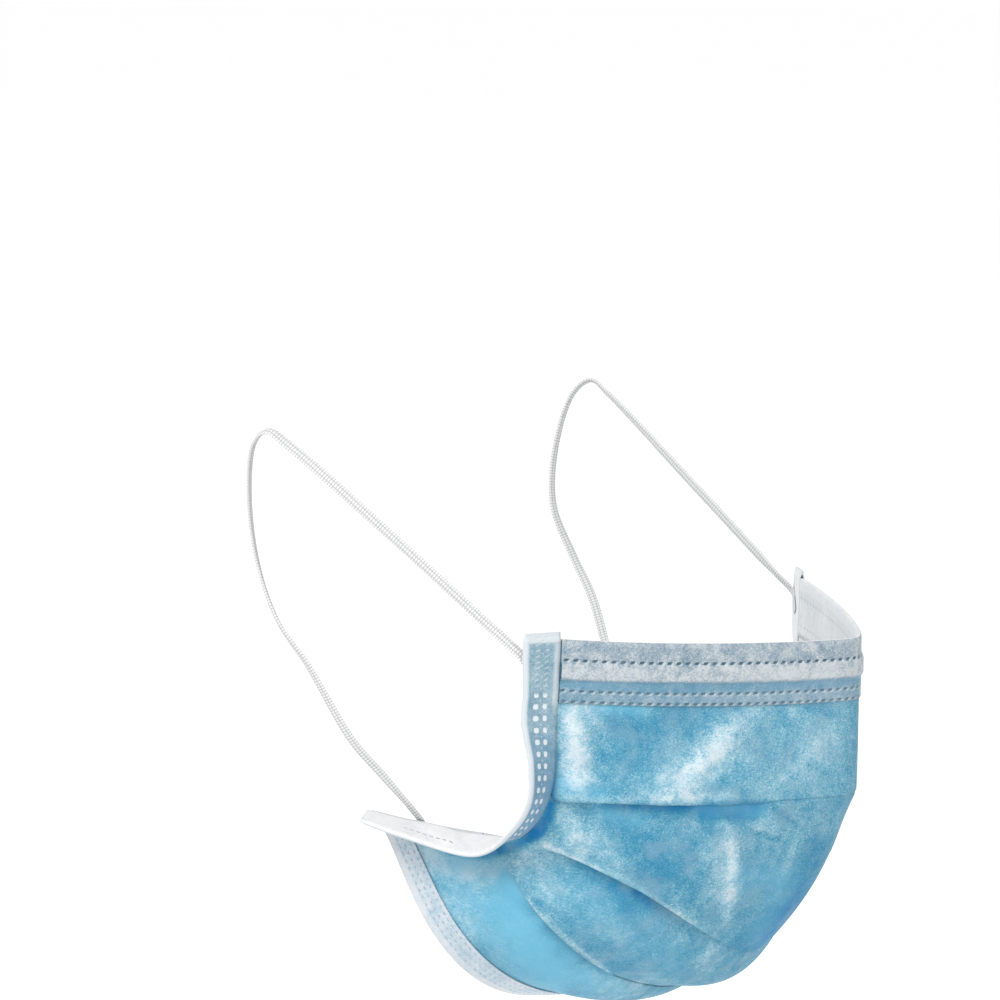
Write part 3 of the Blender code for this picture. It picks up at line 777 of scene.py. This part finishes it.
def band_material(name, rows, tint, stripe=None):
    """The white band over the blue panel, with its rows of weld dashes."""
    nodes = Nodes(name)
    level, relief, patch = felt(nodes, 0.9, 2.0, 2.8)
    across, down = nodes.cloth()
    uneven = nodes.minus(patch, 0.5)
    line = nodes.math("MULTIPLY_ADD", uneven, 1.6, down)
    if stripe:
        low, high, edge = stripe
        rim = nodes.times(nodes.between(down, 1.3, 0.7), 0.3)
        on_wire = nodes.times(nodes.between(line, low - edge, low + edge),
                              nodes.between(line, high + edge, high - edge))
        pale = nodes.larger(rim, on_wire)
        level = nodes.math("MULTIPLY_ADD", pale, 0.38, level)
    else:
        level = nodes.math("MULTIPLY_ADD", nodes.between(line, 2.7, 2.0), 0.45, level)
    colour = nodes.ramp(level, ((-0.5, tint[0]), (0.0, tint[1]), (0.6, tint[2])))
    if stripe:
        below = nodes.between(line, high - 0.1, high + 0.5)
        upper = nodes.between(line, high + 2.9, high + 1.9)
        blue = nodes.math("MULTIPLY_ADD", upper, 0.25, nodes.times(below, 0.38))
        colour = nodes.mix(nodes.times(blue, below), colour, shown(58, 148, 184))
    marks = 0.0
    for row in rows:
        # Each weld dash gets a painted highlight just below and beside it, then its own dark weld
        # mark.
        beside = row._replace(length=0.8 * row.length, shift=row.shift - 0.55)
        light = nodes.dashes(across, nodes.minus(down, 0.30), beside)
        light = nodes.times(light, 0.10 + 0.4 * row.depth)
        worn = nodes.math("MULTIPLY_ADD", uneven, 3.0 - 2.0 * row.depth, 1.0)
        dark = nodes.dashes(across, down, row)
        dark = nodes.times(dark, nodes.times(worn, row.depth))
        colour = nodes.mix(light, colour, shown(232, 240, 244))
        colour = nodes.mix(nodes.between(dark, 0.0, 1.0), colour, shown(40, 88, 108))
        marks = nodes.larger(marks, dark)
    normal = nodes.pressed(marks, 0.00025, 0.6, nodes.bump(relief, 0.00016, 0.8))
    return nodes.finish(colour, 0.58, normal, sheen=0.1)


def tape_material():
    """The outer leaf of the tape: white cloth pressed onto blue, with its weld dots."""
    nodes = Nodes("side_tape")
    colour, relief = spunbond(nodes, tints((104, 150, 172), (144, 178, 194), (186, 206, 216)))
    across, down = nodes.cloth()
    stretched = nodes.times(nodes.between(down, 12.0, 34.0), 0.55)
    colour = nodes.mix(stretched, colour, shown(58, 138, 186))
    margin = nodes.larger(nodes.between(across, 1.3, 0.6), nodes.between(down, 0.7, 0.0))
    seam = nodes.times(nodes.between(across, 6.3, 7.0), nodes.between(down, 17.0, 12.0))
    seam = nodes.times(seam, 0.6)
    pale = nodes.times(nodes.larger(margin, seam), 0.9)
    colour = nodes.mix(pale, colour, shown(226, 233, 237))
    marks = 0.0
    for column in DOT_COLUMNS:
        lower = nodes.dots(down, across, column, DOT_PITCH, 1.35, 1.2)
        lower = nodes.times(lower, nodes.between(down, 11.0, 12.0))
        upper = nodes.dashes(down, across, DashRow(column, 1.30, 0.45, 0.9, 0.35))
        upper = nodes.times(upper, nodes.between(down, 11.2, 10.2))
        both = nodes.larger(lower, nodes.times(upper, 0.38))
        marks = nodes.larger(marks, both)
    small = nodes.dots(nodes.math("ADD", down, 1.3), across, 3.7, DOT_PITCH, 0.45, 0.45)
    marks = nodes.larger(marks, nodes.times(small, 0.5))
    colour = nodes.mix(nodes.times(marks, 0.95), colour, shown(232, 243, 247))
    normal = nodes.pressed(marks, 0.00025, 0.7, nodes.bump(relief, 0.00014, 0.7))
    return nodes.finish(colour, 0.5, normal, sheen=0.1)


def tape_lining():
    """The inner leaf of the tape: white, with thin weld dashes where it covers the elastic."""
    nodes = Nodes("side_tape_inside")
    colour, relief = spunbond(nodes, tints((236, 240, 243), (248, 250, 251), (255, 255, 255)))
    across, down = nodes.cloth()
    sloping = nodes.math("MULTIPLY_ADD", down, -0.058, across)
    marks = nodes.dashes(down, sloping, DashRow(-1.2, 1.75, 0.95, 0.30), 0.07)
    first, last = SEAT_DASHES
    marks = nodes.times(marks, nodes.between(down, first - 0.3, first + 0.3))
    marks = nodes.times(marks, nodes.between(down, last + 0.3, last - 0.3))
    colour = nodes.mix(nodes.times(marks, 0.7), colour, shown(140, 160, 165))
    normal = nodes.pressed(marks, 0.00020, 0.7, nodes.bump(relief, 0.00012, 0.6))
    return nodes.finish(colour, 0.6, normal, sheen=0.1)


def elastic_material():
    """Knitted elastic: three columns of stitches with grooves between them."""
    nodes = Nodes("white_elastic")
    yarn = nodes.noise(nodes.object_place(), 3600.0, 2.0, 0.6, 0.4)
    across, along = nodes.cloth()
    cell = nodes.math("FRACT", nodes.math("DIVIDE", along, 1000 * STITCH))
    cell = nodes.minus(cell, 0.5)
    between_stitches = nodes.between(nodes.size(cell), 0.34, 0.48)
    side = nodes.minus(nodes.size(across), GROOVE)
    line = nodes.between(nodes.size(side), 0.12, 0.03)
    grooves = nodes.larger(between_stitches, line)
    # Painted shade in the grooves and between the stitches, with random variation from the yarn.
    shade = nodes.math("MULTIPLY_ADD", grooves, 0.6, nodes.times(yarn, 0.3))
    shade = nodes.between(shade, 0.1, 0.8)
    colour = nodes.mix(shade, shown(242, 243, 242), shown(200, 202, 201))
    return nodes.finish(colour, 0.75, nodes.pressed(grooves, 0.00012, 0.8), sheen=0.15)


def wire_material():
    nodes = Nodes("nose_wire")
    stretched = nodes.turned(nodes.object_place(), (0, 0, 0), (0.1, 0.1, 1.0))
    brushed = nodes.noise(stretched, 3000.0, 2.0)
    return nodes.finish(nodes.mix(brushed, shown(220, 222, 224), shown(245, 246, 247)), 0.45)


def build_panel(finishes):
    edge = (0.5 * PLIES + AIR + TAPE_PLY) / STRIP - 1.0
    sheet = Sheet(whole_width(edge))
    top = 0.5 * PLIES + AIR + BAND_PLY
    grid = []
    cloth = []
    for i in range(len(sheet.w)):
        s, lift = sheet_path(sheet, i, top, sheet.total[i] - top)
        height = stroke_fields(sheet.at(i, s, lift), STROKES)[1]
        free = (smooth_step(max(sheet.u[i], 0.0) / 0.05) * smooth_step((s - TOP_BAND) / 0.004)
                * smooth_step((sheet.total[i] - s - BOTTOM_BAND) / 0.004))
        points = sheet.at(i, s, lift + 0.001 * height * free)
        grid.append(points)
        steps = np.linalg.norm(np.diff(points, axis=0), axis=1)
        down = 1000 * (top + np.concatenate(([0.0], np.cumsum(steps))))
        cloth.append(np.stack((np.full(len(s), 1000 * ROW_LENGTH * sheet.w[i]), down), axis=-1))
    grid = np.array(grid)
    panel = grid_object("pleated_panel", grid, np.array(cloth), finishes, PLIES, 1)
    # The strokes' painted light and shade, and the glows, kept on the panel's points.
    for name, strokes in (("tone", STROKES), ("glow", GLOWS)):
        layer = panel.data.attributes.new(name, "FLOAT", "POINT")
        tone = stroke_fields(grid, strokes)[0]
        if name == "glow":
            tone = tone * (1.0 - 0.5 * smooth_step(grid[..., 0] / 0.01))
        layer.data.foreach_set("value", tone.astype(np.float32).ravel())
    return panel


def hem_section(leaf, wrap, wire):
    """The section of a folded hem from the front leaf's edge round to the back leaf's edge."""
    front = np.linspace(leaf, wrap, HEM_FRONT)
    lift = np.full(len(front), wrap)
    if wire:
        rise = smooth_step((0.5 * WIRE_WIDTH + 0.0008 - np.abs(front - WIRE_DROP)) / 0.0009)
        lift = lift + WIRE_THICK * rise
    angle = np.linspace(0.0, math.pi, EDGE_STEPS)[1:-1]
    back = np.linspace(wrap, leaf, HEM_BACK)
    s = np.concatenate((front, wrap - wrap * np.sin(angle), back))
    return s, np.concatenate((lift, wrap * np.cos(angle), np.full(len(back), -wrap)))


def build_band(name, finishes, at_top):
    wrap = 0.5 * PLIES + AIR + 0.5 * BAND_PLY
    start = -(TAPE_SHORT - BAND_GAP) / STRIP if at_top else BAND_CLEAR / ROW_LENGTH
    w = whole_width(0.0)
    w = np.concatenate(([start], w[(w > start + 0.003) & (w < 2 - start - 0.003)], [2 - start]))
    sheet = Sheet(w)
    s, lift = hem_section(TOP_BAND if at_top else BOTTOM_BAND, wrap, at_top)
    columns = [sheet.at(i, s if at_top else sheet.total[i] - s, lift) for i in range(len(w))]
    grid = np.array(columns)
    along = np.linalg.norm(np.diff(grid[:, 0], axis=0), axis=1)
    across_mm = 1000 * np.concatenate(([0.0], np.cumsum(along)))
    cloth = np.stack(np.meshgrid(across_mm, 1000 * s, indexing="ij"), axis=-1)
    inside = np.arange(len(s) - 1) > HEM_FRONT
    if not at_top:
        grid = grid[:, ::-1]
        cloth = cloth[:, ::-1]
        inside = inside[::-1]
    band = grid_object(name, grid, cloth, finishes, BAND_PLY)
    leaves = np.tile(inside, len(grid) - 1).astype(np.int32)
    band.data.polygons.foreach_set("material_index", leaves)
    return band


def seat_bulge(s, inset, total):
    """How far the tape's inner leaf is lifted by the elastic that it covers."""
    heading = math.radians(LOWER_END.heading)
    start = np.array((LOWER_END.distance * total, LOWER_END.inset))
    end = start + LOWER_END.length * np.array((math.sin(heading), math.cos(heading)))
    places = np.stack((s, np.full(len(s), inset)), axis=-1)
    away = polyline_distance(places, (start, end))
    return (SEAT_THICK + AIR) * smooth_step((0.0032 - away) / 0.0018)


def build_tape(name, finishes, left):
    wrap = 0.5 * PLIES + AIR + 0.5 * TAPE_PLY
    across = np.linspace(-TAPE_SHORT / STRIP, wrap / STRIP - 1.0, TAPE_COLUMNS)
    sheet = Sheet(np.concatenate((across, [-1.0])))
    share = np.linspace(0.0, 1.0, TAPE_ROWS + 1)
    front = []
    back = []
    lines = []
    for i in range(len(across) + 1):
        s = -TAPE_PROUD + (sheet.total[i] + 2 * TAPE_PROUD) * share
        lines.append(s)
        beyond = np.maximum(-s, s - sheet.total[i])
        lift = wrap + (0.5 * (TAPE_PLY + AIR) - wrap) * smooth_step((beyond - 0.0002) / 0.0009)
        front.append(sheet.at(i, s, lift))
        inset = STRIP * (1.0 + sheet.w[i])
        bulge = seat_bulge(s, inset, sheet.total[len(across) // 2])
        back.append(sheet.at(i, s, -lift - bulge))
    pivot = 0.5 * (front[-2] + back[-2])
    normal = unit(front[-2] - back[-2])
    outward = unit(0.5 * (front[-1] + back[-1]) - pivot)
    rounds = []
    radius = 0.5 * np.linalg.norm(front[-2] - back[-2], axis=-1, keepdims=True)
    for angle in np.linspace(0.0, math.pi, EDGE_STEPS)[1:-1]:
        rounds.append(pivot + radius * (math.sin(angle) * outward + math.cos(angle) * normal))
    wave = np.interp(1000 * lines[-1], EDGE_WAVE[0], EDGE_WAVE[1])[:, None] * 0.001 * outward
    for i in range(len(across)):
        share_out = smooth_step((i / (len(across) - 1) - 0.55) / 0.45)
        front[i] += share_out * wave
        back[i] += share_out * wave
    rounds = [line + wave for line in rounds]
    grid = np.array(front[:-1] + rounds + back[:-1][::-1])
    from_edge = 1000 * STRIP * (1.0 + across)
    across_mm = np.concatenate((from_edge, np.zeros(len(rounds)), from_edge[::-1]))
    down_mm = 1000 * lines[len(across) // 2]
    cloth = np.stack(np.meshgrid(across_mm, down_mm, indexing="ij"), axis=-1)
    grid = grid[::-1]
    cloth = cloth[::-1]
    if left:
        grid = grid[::-1].copy()
        cloth = cloth[::-1]
        grid[:, :, 0] *= -1.0
    tape = grid_object(name, grid, cloth, finishes, TAPE_PLY)
    outer_strips = len(across) + len(rounds) // 2
    strips = len(grid) - 1
    lining = np.ones(strips * TAPE_ROWS, dtype=np.int32)
    if left:
        lining[:outer_strips * TAPE_ROWS] = 0
    else:
        lining[(strips - outer_strips) * TAPE_ROWS:] = 0
    tape.data.polygons.foreach_set("material_index", lining)
    return tape


def spline(points, per_span):
    """Dense points along the centripetal spline through some points."""
    padded = [2 * points[0] - points[1]] + points + [2 * points[-1] - points[-2]]
    dense = [points[0]]
    for i in range(1, len(padded) - 2):
        near = padded[i - 1:i + 3]
        slope_in, slope_out = span_slopes(near)
        for k in range(1, per_span + 1):
            dense.append(hermite(near[1], near[2], slope_in, slope_out, k / per_span))
    return np.array(dense)


def seat(end):
    """The welded stretch of elastic inside the mask, and the way that its face looks. The upper
    one lies on the tape, the lower one between the panel and the tape's inner leaf."""
    total = Sheet(np.array([-1.0, -0.5])).total[1]
    lift = end.lift + 0.5 * SEAT_THICK
    heading = math.radians(end.heading)
    points = []
    faces = []
    for along in (0.0, 0.5 * end.length, end.length):
        distance = end.distance * total + along * math.sin(heading)
        inset = end.inset + along * math.cos(heading)
        local = Sheet(np.array([inset / STRIP - 1.0, inset / STRIP - 0.9]))
        s = np.array([distance])
        points.append(local.at(0, s, np.array([-lift]))[0])
        faces.append(unit(local.at(0, s, np.array([0.0]))[0] - points[-1]))
    return points, faces


def loop_route():
    """The centre line of one ear loop and the way that its flat side looks along it."""
    route = [place(p.back, p.out, -p.up) for p in LOOP_ROUTE]
    faces = [direction(*p.face) for p in LOOP_ROUTE]
    upper, upper_faces = seat(UPPER_END)
    lower, lower_faces = seat(LOWER_END)
    near_upper = [upper[0] + k * UPPER_SEAT * unit(route[0] - upper[0]) for k in (1.0, 2.5)]
    near_lower = [lower[0] + k * UPPER_SEAT * unit(route[-1] - lower[0]) for k in (2.5, 1.0)]
    points = upper[::-1] + near_upper + route + near_lower + lower
    ways = upper_faces[::-1] + [upper_faces[0], faces[0]] + faces + [faces[-1], lower_faces[0]]
    return points, ways + lower_faces


def build_loop(name, finishes, left):
    points, ways = loop_route()
    line = spline(points, LOOP_SPAN)
    face = unit(spline(ways, LOOP_SPAN))
    steps = np.concatenate(([0.0], np.cumsum(np.linalg.norm(np.diff(line, axis=0), axis=1))))
    count = int(steps[-1] / LOOP_RING)
    s = np.linspace(0.0, steps[-1], count + 1)
    line = np.stack([np.interp(s, steps, line[:, k]) for k in range(3)], axis=-1)
    face = np.stack([np.interp(s, steps, face[:, k]) for k in range(3)], axis=-1)
    along = unit(np.gradient(line, axis=0))
    wide = unit(np.cross(along, face))
    thin = np.cross(wide, along)
    angle = np.linspace(0.0, 2 * math.pi, LOOP_SIDES)
    sides = np.cos(angle)
    dent = 1.0 - 0.22 * np.exp(-((np.abs(sides) - GROOVE) / 0.14) ** 2)
    rib = 1.0 + 0.06 * np.cos(2 * math.pi * s / STITCH)[:, None]
    pressed = np.minimum(smooth_step((s - UPPER_SEAT) / 0.002),
                         smooth_step((s[-1] - LOWER_SEAT - s) / 0.002))[:, None]
    thick = SEAT_THICK + (ELASTIC_THICK - SEAT_THICK) * pressed
    wide_share = 1.25 - 0.25 * pressed
    half_wide = 0.5 * ELASTIC_WIDTH * wide_share * sides[None, :] * (0.98 + 0.02 * rib)
    half_thin = 0.5 * thick * (np.sin(angle) * dent)[None, :] * rib
    ends = np.minimum(s, s[-1] - s)
    close = np.sqrt(np.clip(ends / 0.0004, 0.0, 1.0))[:, None]
    grid = (line[:, None, :] + (half_wide * close)[..., None] * wide[:, None, :]
            + (half_thin * close)[..., None] * thin[:, None, :])
    cloth = np.stack(np.meshgrid(s * 1000, sides, indexing="ij")[::-1], axis=-1)
    if left:
        grid = grid.copy()
        grid[:, :, 0] *= -1.0
        grid = grid[:, ::-1]
        cloth = cloth[:, ::-1]
    loop = grid_object(name, grid, cloth, finishes)
    centre = line.copy()
    if left:
        centre[:, 0] *= -1.0
    return loop, centre[::PATH_RINGS], s[-1]


def build_wire(finishes):
    sheet = Sheet(np.linspace(0.03, 1.97, WIRE_COLUMNS))
    lift = 0.5 * PLIES + AIR + 0.5 * WIRE_THICK
    s = WIRE_DROP + WIRE_WIDTH * np.linspace(-0.5, 0.5, WIRE_LINES)
    grid = np.array([sheet.at(i, s, np.full(len(s), lift)) for i in range(len(sheet.w))])
    cloth = np.zeros(grid.shape[:2] + (2,))
    return grid_object("nose_wire_strip", grid, cloth, finishes, 0.8 * WIRE_THICK)


def build_stage():
    mesh = bpy.data.meshes.new("floor")
    size = FLOOR_SIZE
    level = cad_box[0][2] - FLOOR_DROP
    mesh.from_pydata([(-size, -size, level), (size, -size, level), (size, size, level),
                      (-size, size, level)], [], [(0, 1, 2, 3)])
    floor = bpy.data.objects.new("floor", mesh)
    bpy.context.scene.collection.objects.link(floor)
    mesh.materials.append(Nodes("floor").finish((0.995, 0.995, 0.995, 1.0), 0.9))


def build_light():
    world = bpy.data.worlds.new("studio")
    world.use_nodes = True
    back = world.node_tree.nodes["Background"]
    back.inputs[0].default_value = (1.0, 1.0, 1.0, 1.0)
    back.inputs[1].default_value = 1.0
    bpy.context.scene.world = world
    bpy.context.scene.view_settings.view_transform = "Standard"
    area_light("key", (-1.45, 0.10, 1.25), LIT_PLACE, 0.9, 34.0)
    area_light("front", (-0.5, -1.5, 0.7), LIT_PLACE, 0.9, 8.0)


make_camera()
elastic = elastic_material()
for side, on_left in (("right", False), ("left", True)):
    loop, centre, length = build_loop("elastic_" + side, [elastic], on_left)
    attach(loop, "root")
    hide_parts("ear_loop_" + side)

panel = build_panel([blue_material(), white_material()])
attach(panel, "root")
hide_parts("body_panel")

top_tint = tints((105, 142, 166), (160, 178, 189), (212, 218, 222))
bottom_tint = tints((168, 198, 218), (202, 221, 233), (230, 233, 239))
inside_tint = tints((214, 222, 228), (230, 235, 239), (243, 246, 248))
top = build_band("folded_top_band", [
    band_material("top_band", TOP_DASHES, top_tint, WIRE_STRIPE),
    band_material("top_band_inside", TOP_INSIDE, inside_tint)], True)
bottom = build_band("folded_bottom_band", [
    band_material("bottom_band", BOTTOM_DASHES, bottom_tint),
    band_material("bottom_band_inside", BOTTOM_INSIDE, inside_tint)], False)
tape_finishes = [tape_material(), tape_lining()]
tape_right = build_tape("binding_right", tape_finishes, False)
tape_left = build_tape("binding_left", tape_finishes, True)
wire = build_wire([wire_material()])
for piece, node, finish_slot in (
        (top, "top_band", "white_nonwoven"), (bottom, "bottom_band", "white_nonwoven"),
        (tape_right, "side_tape_right", "side_tape"), (tape_left, "side_tape_left", "side_tape"),
        (wire, "nose_wire", "nose_wire")):
    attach(piece, "root")
    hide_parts(node)

build_stage()
build_light()
